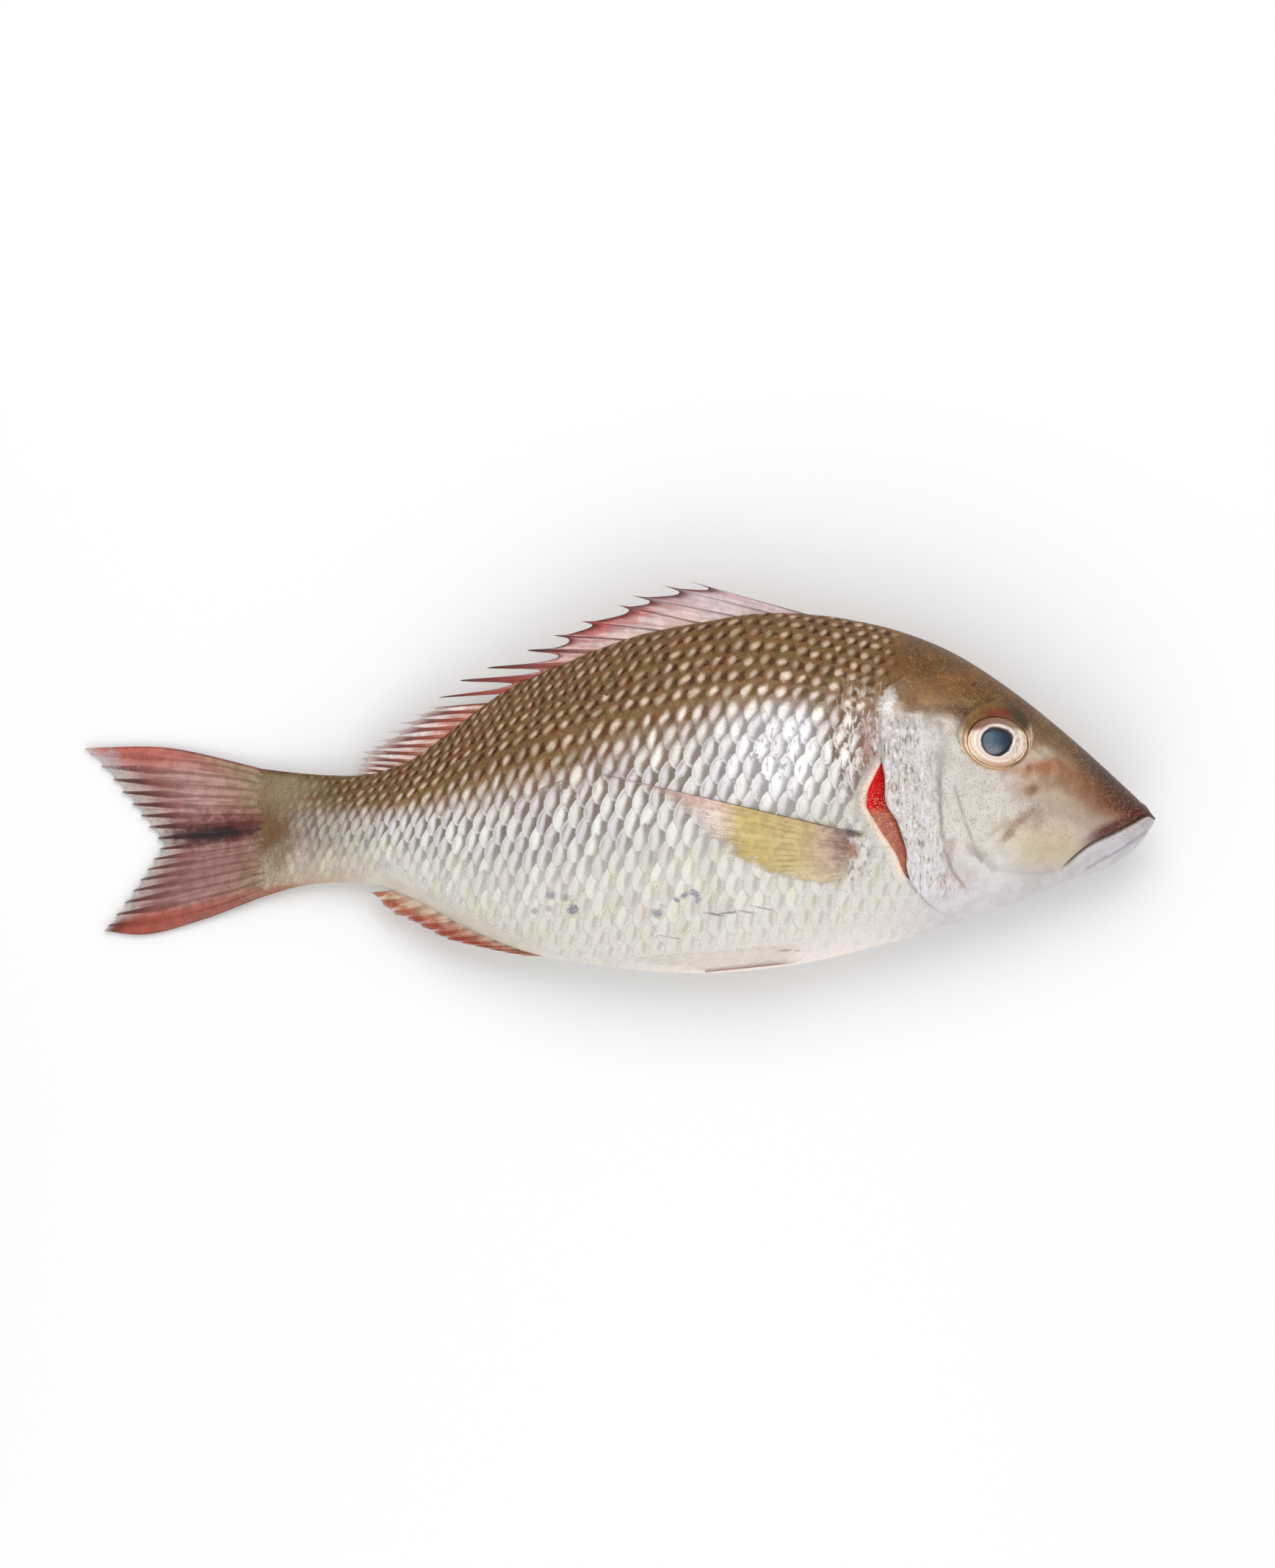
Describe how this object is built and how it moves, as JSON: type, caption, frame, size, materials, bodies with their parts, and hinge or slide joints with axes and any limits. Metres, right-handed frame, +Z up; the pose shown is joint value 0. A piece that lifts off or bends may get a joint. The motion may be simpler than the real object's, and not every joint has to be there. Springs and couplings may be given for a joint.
{
  "type": "whole raw fish",
  "caption": "Whole raw sea fish lying on its side, deep scaled body with a pointed head, spiny back fin, folded side fin and forked tail.",
  "frame": {"origin": "under the middle of the whole fish, fins included, on the surface it lies on", "axes": "+X to the snout, +Y to the back fin, +Z up, out of the right side"},
  "size_m": [0.3996, 0.1462, 0.0537],
  "materials": {
    "skin": "wet, scaled, brown on the back and silver to cream below, with red fins",
    "eye": "wet and smooth, gold iris round a clouded blue-grey pupil",
    "gill": "wet raw red"
  },
  "bodies": {
    "root": {"fish": "skin", "eye_right": "eye", "eye_left": "eye", "gill_right": "gill", "gill_left": "gill"}
  },
  "joints": []
}
